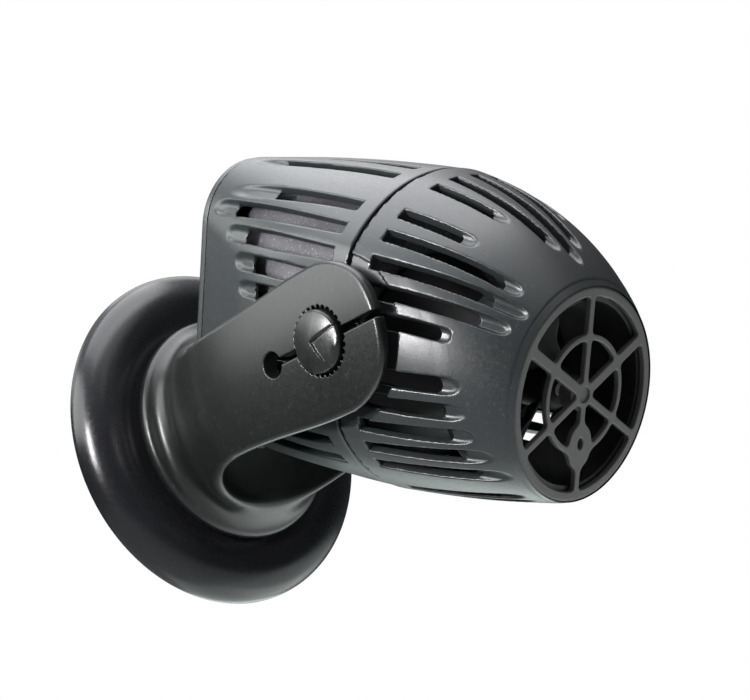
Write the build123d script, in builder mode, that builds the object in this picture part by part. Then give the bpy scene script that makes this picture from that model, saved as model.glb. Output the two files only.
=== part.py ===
from build123d import *
from math import cos, radians, sin, sqrt
import os

# Wave maker pump on a swivelling mount. Units are millimetres.
# Z is up, the pump blows toward -Y, and the aquarium glass is the plane Y = 0.
# The origin is the centre of the mount's face on the glass.

# ---- driving dimensions -------------------------------------------------
hinge_depth = 85.4          # from the glass to the tilt axis
rest_pitch = 28.7           # how far the outlet points below level
axis_drop = 7.1             # outlet axis below the middle of the casing
wall = 2.2                  # casing wall

cup_radius = 44.0           # mount disc
cup_lip = 41.0
puck_radius = 24.0
puck_top = 7.0
flange_radius = 29.0        # foot of the yoke
flange_bottom = 7.9
flange_top = 13.0
boss_radius = 5.0
pivot_play = 0.06

arm_outside = 37.6          # half width over the ears
arm_inside = 33.4
crotch_depth = 17.0         # from the glass to the floor of the fork
ear_reach = 17.8            # from the tilt axis to the tip of the ear
ear_half = 16.4
slit_width = 1.6
relief_reach = 15.9
relief_radius = 2.85
bore_radius = 7.0           # over the tips of the detent teeth
tooth_count = 30
trunnion_radius = 7.2       # journal in the casing wall
core_radius = 6.58          # toothed part of the trunnion, between its teeth
knob_radius = 6.85
knob_edge = 39.1            # half width over the knob's rim
knob_dome = 1.3             # rise of the knob's crown above its rim

seam = 1.25                 # joint line between the casings, ahead of the tilt axis
outlet_front = 42.3         # outlet face, ahead of the tilt axis
outlet_radius = 23.2
pocket_radius = 18.6        # recess that clears the ear
flat_side = 31.6            # half width of the casing where the arms run
casing_back = 52.0          # rear edge of the rear casing, behind the tilt axis
cap_thickness = 2.6

# Front casing: distance ahead of the tilt axis, radius, height of the centre.
front_stations = [
    (1.6, 36.6, 0.0), (15.2, 34.2, -0.9), (28.7, 30.1, -3.0), (42.3, 23.2, -7.1),
]
# Rear casing: distance behind the tilt axis, half width, half height, corner radius.
rear_stations = [(-0.9, 36.5, 36.5, 36.4), (26.0, 32.4, 35.7, 26.0), (52.0, 25.6, 34.0, 16.0)]

slot_width = 2.8
slot_back = 7.0             # rear end of the front slots, ahead of the tilt axis
scoop = 6.0                 # length of the ramp at a slot's rounded end
# Front slots, on both sides of the middle: angle from the top, reach of the tip.
front_slots = [
    (0, 38.5), (9.1, 35.5), (17, 26), (32.5, 26), (41, 37), (49.5, 39.5), (58, 38.5), (67.5, 29),
    (87, 32), (97, 33.5), (107.6, 35), (118, 37.5), (129.3, 39.5), (151.5, 39.5), (161, 39.5),
    (170.5, 39.5), (180, 39.5),
]
# Rear slots: angle from the top, then where the opening starts and ends behind the tilt axis.
rear_slots = [
    (10.5, 3.8, 31), (21, 3.8, 37), (41.5, 3.8, 25), (50.5, 3.8, 37), (60, 3.8, 31),
    (69, 3.8, 27), (78.7, 13, 26),
]
rear_scoop = 10.0

spoke_angles = (30, 90, 150, 210, 270, 330)
grille_thickness = 1.3
grille_radius = 23.0
duct_outer = 20.9
duct_inner = 19.8
duct_back = 21.0            # rear end of the duct, ahead of the tilt axis
rotor_radius = 8.0
shaft_radius = 1.5
propeller_radius = 17.6     # at the middle of a blade's tip
blade_count = 3
segments = 4                # stations of each propeller blade

# ---- frames of the tilted pump ------------------------------------------
forward = Vector(0, -cos(radians(rest_pitch)), -sin(radians(rest_pitch)))
upward = Vector(0, -sin(radians(rest_pitch)), cos(radians(rest_pitch)))
hinge = Vector(0, -hinge_depth, 0)
pump = Plane(origin=hinge, x_dir=(1, 0, 0), z_dir=forward)
rotor = Plane(origin=hinge - upward * axis_drop, x_dir=(1, 0, 0), z_dir=forward)
rotor_half = Plane(origin=rotor.origin, x_dir=(1, 0, 0), z_dir=upward * -1)
glass_half = Plane(origin=(0, 0, 0), x_dir=(1, 0, 0), z_dir=(0, 0, 1))
plan = Plane(origin=(0, 0, 0), x_dir=(1, 0, 0), z_dir=(0, 0, 1))
side = Plane(origin=(0, 0, 0), x_dir=(0, 1, 0), z_dir=(1, 0, 0))


def meridian(angle):
    """Half plane through the outlet axis; angle is measured from the top toward -X."""
    out = Vector(-sin(radians(angle)), 0, 0) + upward * cos(radians(angle))
    return Plane(origin=rotor.origin, x_dir=out, z_dir=out.cross(forward))


def casing_reach(angle, ahead):
    """Distance from the outlet axis to the front casing's skin."""
    radius = height = 0.0
    for i, (d, r, c) in enumerate(front_stations):
        weight = 1.0
        for j, (other, _, _) in enumerate(front_stations):
            if j != i:
                weight *= (ahead - other) / (d - other)
        radius += weight * r
        height += weight * c
    lift = height + axis_drop
    tilt = radians(angle)
    return lift * cos(tilt) + sqrt(radius ** 2 - (lift * sin(tilt)) ** 2)


os.makedirs("parts", exist_ok=True)


def finish(name, builder):
    builder.part.label = name
    export_step(builder.part, f"parts/{name}.step")


# ---- mount on the glass -------------------------------------------------
# Rubber cup: a rounded rim, a shallow valley round the yoke's foot, and a hollow face.
with BuildPart() as suction_cup:
    with BuildSketch(plan):
        with BuildLine():
            Line((cup_lip, 0), (cup_radius - 0.8, 0))
            RadiusArc((cup_radius - 0.8, 0), (cup_radius, -0.8), -0.8)
            Line((cup_radius, -0.8), (cup_radius, -2.8))
            Spline((cup_radius, -2.8), (42.3, -6.6), (38.0, -8.6), (33.5, -8.3), (29.0, -6.9),
                   tangents=[(0, -1), (-1, 0.3)])
            Line((29.0, -6.9), (puck_radius, -6.9))
            Line((puck_radius, -6.9), (puck_radius, -5.0))
            Line((puck_radius, -5.0), (puck_radius + 2, -5.0))
            Line((puck_radius + 2, -5.0), (puck_radius + 2, -3.6))
            Line((puck_radius + 2, -3.6), (puck_radius, -3.6))
            Line((puck_radius, -3.6), (puck_radius, -2.4))
            Spline((puck_radius, -2.4), (33.0, -2.1), (cup_lip, 0))
        make_face()
    revolve(axis=Axis.Y)
finish("suction_cup", suction_cup)

# Rigid puck in the cup's middle: magnet pocket on the glass side, swivel boss in front.
with BuildPart() as magnet_housing:
    with BuildSketch(plan):
        with BuildLine():
            Polyline((0, -5.6), (20, -5.6), (20, -1.2), (22, -1.2), (22, 0), (puck_radius, 0),
                     (puck_radius, -3.6), (puck_radius + 2, -3.6), (puck_radius + 2, -5.0),
                     (puck_radius, -5.0), (puck_radius, -puck_top), (boss_radius, -puck_top),
                     (boss_radius, -13.9), (2.5, -13.9), (2.5, -8.0), (0, -8.0), close=True)
        make_face()
    revolve(axis=Axis.Y)
finish("magnet_housing", magnet_housing)

with BuildPart() as mount_magnet:
    with BuildSketch(plan):
        with Locations((9.95, -3.45)):
            Rectangle(19.9, 4.3)
    revolve(axis=Axis.Y)
finish("mount_magnet", mount_magnet)

with BuildPart() as magnet_cover:
    with BuildSketch(plan):
        with Locations((10.95, -0.6)):
            Rectangle(21.9, 1.2)
    revolve(axis=Axis.Y)
finish("magnet_cover", magnet_cover)

with BuildPart() as slip_ring:
    with BuildSketch(plan):
        with Locations((15.5, -puck_top - 0.3)):
            Rectangle(15, 0.6)
    revolve(axis=Axis.Y)
finish("slip_ring", slip_ring)

with BuildPart() as pivot_washer:
    with BuildSketch(plan):
        with Locations((5.4, -14.6)):
            Rectangle(4.8, 0.8)
    revolve(axis=Axis.Y)
finish("pivot_washer", pivot_washer)

with BuildPart() as pivot_screw:
    with BuildSketch(plan):
        with BuildLine():
            Polyline((0, -8.2), (2.4, -8.2), (2.4, -15.0), (6.2, -15.0), (6.2, -15.9))
            RadiusArc((6.2, -15.9), (0, -17.1), 16.6)
            Line((0, -17.1), (0, -8.2))
        make_face()
    revolve(axis=Axis.Y)
    with BuildSketch(Plane(origin=(0, -17.6, 0), x_dir=(1, 0, 0), z_dir=(0, 1, 0))):
        Rectangle(8, 1.2)
        Rectangle(1.2, 8)
    extrude(amount=1.6, mode=Mode.SUBTRACT)
finish("pivot_screw", pivot_screw)

# ---- yoke ---------------------------------------------------------------
# A strap bent in a U: its side outline extruded across, then cut to its plan outline.
ear_tip = hinge_depth + ear_reach
with BuildPart() as yoke:
    with BuildSketch(side):
        with BuildLine():
            Spline((-12.0, 26.5), (-17.0, 22.3), (-24.0, 18.0), (-33.0, 15.3), (-46.0, 14.4),
                   tangents=[(-0.5, -1), (-1, 0)])
            Spline((-46.0, 14.4), (-66.0, 15.2), (-hinge_depth + 3, ear_half),
                   tangents=[(-1, 0), (-1, 0.04)])
            Line((-hinge_depth + 3, ear_half), (-hinge_depth - 8.6, ear_half - 0.3))
            RadiusArc((-hinge_depth - 8.6, ear_half - 0.3), (-ear_tip + 1.2, 7.0), -9.4)
            ThreePointArc((-ear_tip + 1.2, 7.0), (-ear_tip, 0), (-ear_tip + 1.2, -7.0))
            RadiusArc((-ear_tip + 1.2, -7.0), (-hinge_depth - 8.6, -ear_half + 0.3), -9.4)
            Line((-hinge_depth - 8.6, -ear_half + 0.3), (-hinge_depth + 3, -ear_half))
            Spline((-hinge_depth + 3, -ear_half), (-66.0, -15.2), (-46.0, -14.4),
                   tangents=[(1, 0.04), (1, 0)])
            Spline((-46.0, -14.4), (-33.0, -15.3), (-24.0, -18.0), (-17.0, -22.3), (-12.0, -26.5),
                   tangents=[(1, 0), (0.5, -1)])
            Line((-12.0, -26.5), (-12.0, 26.5))
        make_face()
    extrude(amount=arm_outside + 1, both=True)
    with BuildSketch(plan):
        with BuildLine():
            Line((0, -12.0), (24.0, -12.0))
            Spline((24.0, -12.0), (26.3, -18.0), (31.2, -28.0), (35.4, -39.0), (arm_outside, -56.0),
                   tangents=[(0, -1), (0, -1)])
            Line((arm_outside, -56.0), (arm_outside, -ear_tip - 1))
            Line((arm_outside, -ear_tip - 1), (arm_inside, -ear_tip - 1))
            Line((arm_inside, -ear_tip - 1), (arm_inside, -52.0))
            Spline((arm_inside, -52.0), (29.8, -34.5), (23.0, -23.5), (0, -crotch_depth),
                   tangents=[(0, 1), (-1, 0)])
            Line((0, -crotch_depth), (0, -12.0))
        make_face()
        mirror(about=Plane.YZ)
    extrude(amount=30, both=True, mode=Mode.INTERSECT)
    # The neck is trimmed to a trumpet that widens away from the foot.
    with BuildSketch(plan):
        with BuildLine():
            Line((0, -12.0), (24.6, -12.0))
            Spline((24.6, -12.0), (25.8, -16.0), (28.3, -20.5), (32.4, -29.5), (41.0, -47.0), (47.0, -60.0))
            Polyline((47.0, -60.0), (60.0, -120.0), (0, -120.0), (0, -12.0))
        make_face()
    revolve(axis=Axis.Y, mode=Mode.INTERSECT)
    with BuildSketch(plan):
        with BuildLine():
            Polyline((0, -flange_bottom), (flange_radius - 1.0, -flange_bottom))
            RadiusArc((flange_radius - 1.0, -flange_bottom), (flange_radius, -8.9), -1.0)
            Spline((flange_radius, -8.9), (28.2, -11.6), (25.6, -13.0), (21.0, -13.8),
                   tangents=[(0, -1), (-1, -0.1)])
            Line((21.0, -13.8), (0, -13.8))
            Line((0, -13.8), (0, -flange_bottom))
        make_face()
    revolve(axis=Axis.Y)
    # Running bore and counterbore for the pivot.
    with BuildSketch(Plane(origin=(0, -5, 0), x_dir=(1, 0, 0), z_dir=(0, -1, 0))):
        Circle(boss_radius + pivot_play)
    extrude(amount=20, mode=Mode.SUBTRACT)
    with BuildSketch(Plane(origin=(0, -14.0, 0), x_dir=(1, 0, 0), z_dir=(0, -1, 0))):
        Circle(8.2)
    extrude(amount=20, mode=Mode.SUBTRACT)
    # Clamp slit, relief hole and toothed bore through both ears.
    with BuildSketch(side.offset(-arm_outside - 1)):
        with Locations((-hinge_depth, 0)):
            Circle(bore_radius)
            with PolarLocations(bore_radius + 0.15, tooth_count):
                Circle(0.42)
        with Locations((-hinge_depth + relief_reach, 0)):
            Circle(relief_radius)
        with Locations((-hinge_depth - 10 + relief_reach / 2, 0)):
            Rectangle(relief_reach + 20, slit_width)
    extrude(amount=2 * arm_outside + 2, mode=Mode.SUBTRACT)
finish("yoke", yoke)

# ---- casings ------------------------------------------------------------
with BuildPart() as front_core:
    for d, r, c in front_stations:
        with BuildSketch(pump.offset(d)):
            with Locations((0, c)):
                Circle(r - wall)
    loft()
    # The core runs on past both ends of the shell so that it cuts them open.
    for (d, r, c), run_on in ((front_stations[0], -2.0), (front_stations[-1], 1.0)):
        with BuildSketch(pump.offset(d)):
            with Locations((0, c)):
                Circle(r - wall)
        extrude(amount=run_on)
    with BuildSketch(pump.offset(-5)):
        Rectangle(2 * (flat_side - wall), 90)
    extrude(amount=60, mode=Mode.INTERSECT)

with BuildPart() as front_casing:
    for d, r, c in front_stations:
        with BuildSketch(pump.offset(d)):
            with Locations((0, c)):
                Circle(r)
    loft()
    add(front_core.part, mode=Mode.SUBTRACT)
    # The grille closes the front, so the shell stops short by its thickness.
    with BuildSketch(rotor.offset(outlet_front - grille_thickness)):
        Circle(outlet_radius + 5)
    extrude(amount=grille_thickness + 1, mode=Mode.SUBTRACT)
    # Recesses for the ears, and half of the hole for each trunnion.
    for sign in (-1, 1):
        with BuildSketch(Plane(origin=hinge + Vector(sign * flat_side, 0, 0), x_dir=(0, 1, 0),
                               z_dir=(sign, 0, 0))):
            Circle(pocket_radius)
        extrude(amount=10, mode=Mode.SUBTRACT)
    with BuildSketch(side.offset(-45)):
        with Locations((-hinge_depth, 0)):
            Circle(trunnion_radius + 0.1)
    extrude(amount=90, mode=Mode.SUBTRACT)
    # Intake slots, each with a ramp that runs out through the skin at its front end.
    for angle, tip in front_slots:
        for turn in {angle, -angle} if angle % 180 else {angle}:
            inner_end = tip - scoop
            deep = casing_reach(turn, inner_end) - wall - 0.6
            with BuildSketch(meridian(turn)):
                with BuildLine():
                    Polyline((12, slot_back), (60, slot_back), (60, tip + 9),
                             (casing_reach(turn, tip), tip), (deep, inner_end), (12, inner_end),
                             close=True)
                make_face()
            extrude(amount=slot_width / 2, both=True, mode=Mode.SUBTRACT)
finish("front_casing", front_casing)

with BuildPart() as rear_core:
    for back, half_w, half_h, corner in rear_stations:
        with BuildSketch(pump.offset(-back)):
            RectangleRounded(2 * (half_w - wall), 2 * (half_h - wall), corner - wall)
    loft()
    with BuildSketch(pump.offset(10)):
        Rectangle(2 * (flat_side - wall), 90)
    extrude(amount=-80, mode=Mode.INTERSECT)

with BuildPart() as rear_casing:
    for back, half_w, half_h, corner in rear_stations:
        with BuildSketch(pump.offset(-back)):
            RectangleRounded(2 * half_w, 2 * half_h, corner)
    loft()
    with BuildSketch(pump.offset(10)):
        Rectangle(2 * flat_side, 90)
    extrude(amount=-80, mode=Mode.INTERSECT)
    add(rear_core.part, mode=Mode.SUBTRACT)
    with BuildSketch(side.offset(-45)):
        with Locations((-hinge_depth, 0)):
            Circle(trunnion_radius + 0.1)
    extrude(amount=90, mode=Mode.SUBTRACT)
    for sign in (-1, 1):
        for flip in (1, -1):
            for angle, start, opening in rear_slots:
                tilt = sign * (angle if flip > 0 else 180 - angle)
                out = Vector(-sin(radians(tilt)), 0, 0) + upward * cos(radians(tilt))
                with BuildSketch(Plane(origin=hinge, x_dir=out, z_dir=out.cross(forward))):
                    with BuildLine():
                        Polyline((14, -start), (60, -start),
                                 (60, -opening - 2.6 * rear_scoop), (37, -opening - rear_scoop),
                                 (30, -opening), (14, -opening), close=True)
                    make_face()
                extrude(amount=slot_width / 2, both=True, mode=Mode.SUBTRACT)
finish("rear_casing", rear_casing)

# Sealing ring inside the joint of the two casings, cut away where the trunnions sit.
with BuildPart() as seam_ring:
    with BuildSketch(pump.offset(seam - 2.2)):
        Circle(33.9)
        Circle(31.6, mode=Mode.SUBTRACT)
    extrude(amount=4.4)
    with BuildSketch(pump.offset(seam - 5)):
        Rectangle(2 * (flat_side - wall - 4), 90)
    extrude(amount=10, mode=Mode.INTERSECT)
finish("seam_ring", seam_ring)

back_width = 2 * rear_stations[-1][1]
back_height = 2 * rear_stations[-1][2]
back_corner = rear_stations[-1][3]
cap_face = -casing_back - 0.3
screw_spots = (16.8, 25.6)
pad_spots = (12.0, 15.0)
gland_height = 17.0

with BuildPart() as rear_cap:
    with BuildSketch(pump.offset(cap_face)):
        RectangleRounded(back_width - 0.8, back_height - 0.8, back_corner - 0.4)
    extrude(amount=-cap_thickness)
    fillet(rear_cap.edges().group_by(Axis(hinge, forward))[0], 1.2)
    with BuildSketch(pump.offset(cap_face)):
        RectangleRounded(back_width - 2 * wall - 0.6, back_height - 2 * wall - 0.6,
                         back_corner - wall - 0.3)
    extrude(amount=1.2)
    with BuildSketch(pump.offset(cap_face + 1.2)):
        with GridLocations(2 * pad_spots[0], 2 * pad_spots[1], 2, 2):
            Circle(3.6)
    extrude(amount=1.6)
    with BuildSketch(pump.offset(cap_face - cap_thickness - 1)):
        with GridLocations(2 * screw_spots[0], 2 * screw_spots[1], 2, 2):
            Circle(1.4)
    extrude(amount=12, mode=Mode.SUBTRACT)
    with BuildSketch(pump.offset(cap_face - cap_thickness)):
        with GridLocations(2 * screw_spots[0], 2 * screw_spots[1], 2, 2):
            Circle(2.7)
    extrude(amount=1.6, mode=Mode.SUBTRACT)
    with BuildSketch(pump.offset(cap_face - cap_thickness - 1)):
        with Locations((0, gland_height)):
            Circle(4.0)
    extrude(amount=12, mode=Mode.SUBTRACT)
finish("rear_cap", rear_cap)

# Four screws that hold the rear cap, in one group.
with BuildPart() as cap_screws:
    with BuildSketch(pump.offset(cap_face - cap_thickness + 0.1)):
        with GridLocations(2 * screw_spots[0], 2 * screw_spots[1], 2, 2):
            Circle(2.5)
    extrude(amount=1.5)
    with BuildSketch(pump.offset(cap_face - cap_thickness + 1.6)):
        with GridLocations(2 * screw_spots[0], 2 * screw_spots[1], 2, 2):
            Circle(1.3)
    extrude(amount=6)
    with BuildSketch(pump.offset(cap_face - cap_thickness)):
        with GridLocations(2 * screw_spots[0], 2 * screw_spots[1], 2, 2):
            Rectangle(3.2, 0.7)
            Rectangle(0.7, 3.2)
    extrude(amount=1.0, mode=Mode.SUBTRACT)
finish("cap_screws", cap_screws)

# Cable inlet: a short stepped gland, empty because the cord is not part of the model.
with BuildPart() as cable_gland:
    with BuildSketch(pump.offset(cap_face + 2.2)):
        with Locations((0, gland_height)):
            Circle(5.4)
    extrude(amount=-1.0)
    with BuildSketch(pump.offset(cap_face + 1.2)):
        with Locations((0, gland_height)):
            Circle(3.95)
    extrude(amount=-1.2 - cap_thickness)
    with BuildSketch(pump.offset(cap_face - cap_thickness)):
        with Locations((0, gland_height)):
            Circle(5.4)
    extrude(amount=-1.4)
    with BuildSketch(pump.offset(cap_face - cap_thickness - 1.4)):
        with Locations((0, gland_height)):
            Circle(4.4)
    extrude(amount=-4.0, taper=8)
    with BuildSketch(pump.offset(cap_face + 4)):
        with Locations((0, gland_height)):
            Circle(2.5)
    extrude(amount=-16, mode=Mode.SUBTRACT)
finish("cable_gland", cable_gland)

# Outlet grille: outer ring, middle ring, hub, six spokes and an oval key plate.
with BuildPart() as outlet_grille:
    with BuildSketch(rotor.offset(outlet_front - grille_thickness)):
        Circle(grille_radius)
    extrude(amount=grille_thickness)
    with BuildSketch(rotor.offset(outlet_front - grille_thickness - 1)):
        Circle(20.5)
        Circle(12.9, mode=Mode.SUBTRACT)
        with PolarLocations(16.5, len(spoke_angles), start_angle=spoke_angles[0]):
            Rectangle(12, 1.7, mode=Mode.SUBTRACT)
        with Locations((0, -11)):
            Ellipse(2.6, 4.6, mode=Mode.SUBTRACT)
        Circle(11.6)
        Circle(3.4, mode=Mode.SUBTRACT)
        with PolarLocations(7.5, len(spoke_angles), start_angle=spoke_angles[0]):
            Rectangle(12, 1.7, mode=Mode.SUBTRACT)
        with Locations((0, -11)):
            Ellipse(2.6, 4.6, mode=Mode.SUBTRACT)
    extrude(amount=6, mode=Mode.SUBTRACT)
    with BuildSketch(rotor.offset(outlet_front - grille_thickness - 1)):
        with Locations((0, -11)):
            Circle(0.9)
    extrude(amount=6, mode=Mode.SUBTRACT)
    # Socket behind the hub for the front bush, and a shallow dimple in front.
    with BuildSketch(rotor.offset(outlet_front - grille_thickness)):
        Circle(3.6)
        Circle(2.7, mode=Mode.SUBTRACT)
    extrude(amount=-3.2)
    with BuildSketch(rotor.offset(outlet_front)):
        Circle(1.7)
    extrude(amount=-0.5, mode=Mode.SUBTRACT)
finish("outlet_grille", outlet_grille)

# Duct round the propeller, held by the back of the grille's ring.
with BuildPart() as outlet_duct:
    with BuildSketch(rotor.offset(duct_back)):
        Circle(duct_outer)
        Circle(duct_inner, mode=Mode.SUBTRACT)
    extrude(amount=outlet_front - grille_thickness - duct_back)
finish("outlet_duct", outlet_duct)

# ---- trunnions ----------------------------------------------------------
# Each one is trapped between the casings by its inner flange and ends in a domed knob.
dome_round = (knob_radius ** 2 + knob_dome ** 2) / (2 * knob_dome)
dome_middle = (knob_edge + knob_dome - dome_round + sqrt(dome_round ** 2 - (knob_radius / 2) ** 2),
               knob_radius / 2)
for name, sign in (("left_trunnion", -1), ("right_trunnion", 1)):
    base = Plane(origin=hinge, x_dir=(0, 1, 0), z_dir=(sign, 0, 0))
    with BuildPart() as trunnion:
        with BuildSketch(base.offset(flat_side - wall - 1.8)):
            Circle(10.0)
        extrude(amount=1.7)
        with BuildSketch(base.offset(flat_side - wall - 0.1)):
            Circle(trunnion_radius)
        extrude(amount=2.8)
        with BuildSketch(base.offset(flat_side + 0.4)):
            Circle(core_radius)
            with PolarLocations(core_radius - 0.07, tooth_count):
                Circle(0.4)
        extrude(amount=4.2)
        with BuildSketch(base.offset(arm_outside - 2)):
            Circle(core_radius - 0.2)
        extrude(amount=1.4)
        with BuildSketch(Plane(origin=hinge, x_dir=(sign, 0, 0), z_dir=(0, 0, sign))):
            with BuildLine():
                Polyline((knob_edge + knob_dome, 0), (arm_outside - 0.8, 0),
                         (arm_outside - 0.8, knob_radius), (knob_edge, knob_radius))
                ThreePointArc((knob_edge, knob_radius), dome_middle, (knob_edge + knob_dome, 0))
            make_face()
        revolve(axis=Axis(hinge, (sign, 0, 0)))
    finish(name, trunnion)

# ---- motor --------------------------------------------------------------
can_front = -4.0
can_back = -45.5
can_sections = [(can_front, 26.6, 31.0, 24.0), (-26.0, 26.4, 30.6, 21.0), (can_back, 22.4, 28.5, 15.0)]

with BuildPart() as motor_cavity:
    for at, half_w, half_h, corner in can_sections:
        with BuildSketch(pump.offset(at if at != can_back else can_back + 2)):
            RectangleRounded(2 * (half_w - 2), 2 * (half_h - 2), corner - 2)
    loft()

with BuildPart() as motor_can:
    for at, half_w, half_h, corner in can_sections:
        with BuildSketch(pump.offset(at)):
            RectangleRounded(2 * half_w, 2 * half_h, corner)
    loft()
    add(motor_cavity.part, mode=Mode.SUBTRACT)
    with BuildSketch(pump.offset(can_back - 2)):
        with Locations((0, gland_height)):
            Circle(2.5)
    extrude(amount=10, mode=Mode.SUBTRACT)
finish("motor_can", motor_can)

# Face plate with the well that keeps water round the rotor and away from the windings.
well_outer = 10.4
well_inner = 9.2
with BuildPart() as rotor_well:
    with BuildSketch(pump.offset(can_front + 0.1)):
        RectangleRounded(2 * can_sections[0][1], 2 * can_sections[0][2], can_sections[0][3])
    extrude(amount=2.2)
    with BuildSketch(rotor.offset(-27.5)):
        Circle(well_outer)
    extrude(amount=27.5 + can_front + 1)
    with BuildSketch(rotor.offset(-26.0)):
        Circle(well_inner)
    extrude(amount=40, mode=Mode.SUBTRACT)
    with BuildSketch(rotor.offset(-27.5)):
        Circle(3.2)
    extrude(amount=3, mode=Mode.SUBTRACT)
finish("rotor_well", rotor_well)

# Hollow cone over the well that leads the water from the slots to the propeller.
guide_foot = -1.6
guide_tip = 24.4
with BuildPart() as flow_guide:
    with BuildSketch(rotor_half):
        with BuildLine():
            Polyline((20.8, guide_foot), (24.0, guide_foot), (24.0, -0.4))
            Spline((24.0, -0.4), (17.2, 6.6), (11.8, 15.6), (9.0, guide_tip))
            Line((9.0, guide_tip), (7.0, guide_tip))
            Spline((7.0, guide_tip), (9.8, 15.0), (15.0, 6.0), (20.8, 0.0))
            Line((20.8, 0.0), (20.8, guide_foot))
        make_face()
    revolve(axis=Axis(rotor.origin, forward))
finish("flow_guide", flow_guide)

# Laminated core: a frame round the well with a leg each side for the coils.
with BuildPart() as stator_core:
    with BuildSketch(rotor.offset(-22)):
        with Locations((0, 4.0)):
            RectangleRounded(38, 34, 4)
        with Locations((-14.6, 4.0), (14.6, 4.0)):
            Rectangle(3, 22, mode=Mode.SUBTRACT)
        Circle(well_outer + 0.3, mode=Mode.SUBTRACT)
    extrude(amount=14)
finish("stator_core", stator_core)

with BuildPart() as coil_bobbins:
    with BuildSketch(rotor.offset(-36)):
        with Locations((-9, 8), (9, 8)):
            Circle(6.0)
            Circle(3.2, mode=Mode.SUBTRACT)
    extrude(amount=0.8)
    with BuildSketch(rotor.offset(-35.2)):
        with Locations((-9, 8), (9, 8)):
            Circle(4.0)
            Circle(3.2, mode=Mode.SUBTRACT)
    extrude(amount=6.2)
    with BuildSketch(rotor.offset(-29.0)):
        with Locations((-9, 8), (9, 8)):
            Circle(6.0)
            Circle(3.2, mode=Mode.SUBTRACT)
    extrude(amount=0.8)
finish("coil_bobbins", coil_bobbins)

with BuildPart() as coil_windings:
    with BuildSketch(rotor.offset(-35.1)):
        with Locations((-9, 8), (9, 8)):
            Circle(5.8)
            Circle(4.1, mode=Mode.SUBTRACT)
    extrude(amount=6.0)
finish("coil_windings", coil_windings)

with BuildPart() as vibration_pads:
    with BuildSketch(pump.offset(can_back - 0.05)):
        with GridLocations(2 * pad_spots[0], 2 * pad_spots[1], 2, 2):
            Circle(4.0)
    extrude(amount=-(abs(cap_face + 2.8 - can_back) - 0.1))
finish("vibration_pads", vibration_pads)

# ---- rotor --------------------------------------------------------------
shaft_back = -26.9
shaft_tip = outlet_front - 2.1
with BuildPart() as rotor_shaft:
    with BuildSketch(rotor.offset(shaft_back)):
        Circle(shaft_radius)
    extrude(amount=shaft_tip - shaft_back)
finish("rotor_shaft", rotor_shaft)

with BuildPart() as rear_bush:
    with BuildSketch(rotor.offset(-27.4)):
        Circle(3.1)
        Circle(shaft_radius, mode=Mode.SUBTRACT)
    extrude(amount=2.6)
finish("rear_bush", rear_bush)

with BuildPart() as front_bush:
    with BuildSketch(rotor.offset(outlet_front - grille_thickness - 3.2)):
        Circle(2.65)
        Circle(shaft_radius, mode=Mode.SUBTRACT)
    extrude(amount=3.1)
finish("front_bush", front_bush)

running_bore = shaft_radius + 0.08
with BuildPart() as rotor_magnet:
    with BuildSketch(rotor.offset(-23.5)):
        Circle(rotor_radius)
        Circle(3.4, mode=Mode.SUBTRACT)
    extrude(amount=20)
finish("rotor_magnet", rotor_magnet)

with BuildPart() as rotor_sleeve:
    with BuildSketch(rotor.offset(-24.0)):
        Circle(3.3)
        Circle(running_bore, mode=Mode.SUBTRACT)
    extrude(amount=50)
    with BuildSketch(rotor.offset(-3.4)):
        Circle(6.0)
        Circle(3.0, mode=Mode.SUBTRACT)
    extrude(amount=1.6)
finish("rotor_sleeve", rotor_sleeve)

with BuildPart() as thrust_washer:
    with BuildSketch(rotor.offset(26.1)):
        Circle(3.2)
        Circle(running_bore, mode=Mode.SUBTRACT)
    extrude(amount=0.8)
finish("thrust_washer", thrust_washer)

# Propeller: a hub and blades lofted from the root outward with a falling twist.
hub_radius = 5.0
hub_back = 27.0
hub_long = 8.6
root_chord = 4.2            # half chords of a blade
tip_chord = 8.4
with BuildPart() as propeller:
    with BuildSketch(rotor.offset(hub_back)):
        Circle(hub_radius)
    extrude(amount=hub_long)
    fillet(propeller.edges().group_by(Axis(hinge, forward))[-1], 1.6)
    for k in range(blade_count):
        turn = 360 / blade_count * k
        out = Vector(cos(radians(turn)), 0, 0) + upward * sin(radians(turn))
        middle = rotor.origin + forward * (hub_back + hub_long / 2 - 0.3)
        for i in range(segments):
            share = i / (segments - 1)
            at = hub_radius - 1.2 + share * (propeller_radius - hub_radius + 1.2)
            across = out.cross(forward)
            twist = radians(52 - 26 * share)
            chord = across * cos(twist) + forward * sin(twist)
            with BuildSketch(Plane(origin=middle + out * at, x_dir=chord, z_dir=out)):
                Ellipse(root_chord + (tip_chord - root_chord) * share, 0.75 - 0.25 * share)
        loft()
    with BuildSketch(rotor.offset(hub_back - 1)):
        Circle(running_bore)
    extrude(amount=hub_long + 3, mode=Mode.SUBTRACT)
finish("propeller", propeller)
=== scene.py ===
"""Wave maker pump on its swivelling mount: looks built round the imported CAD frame.

Lengths in this file are millimetres until a mesh is made, which is in metres.
The moulded parts are described as distance fields, so that their edges and blends are
rounded as the real mouldings are, and each field is then skinned with a fine mesh.
"""
import math

import bpy
import numpy as np
from mathutils import Matrix, Vector


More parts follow.
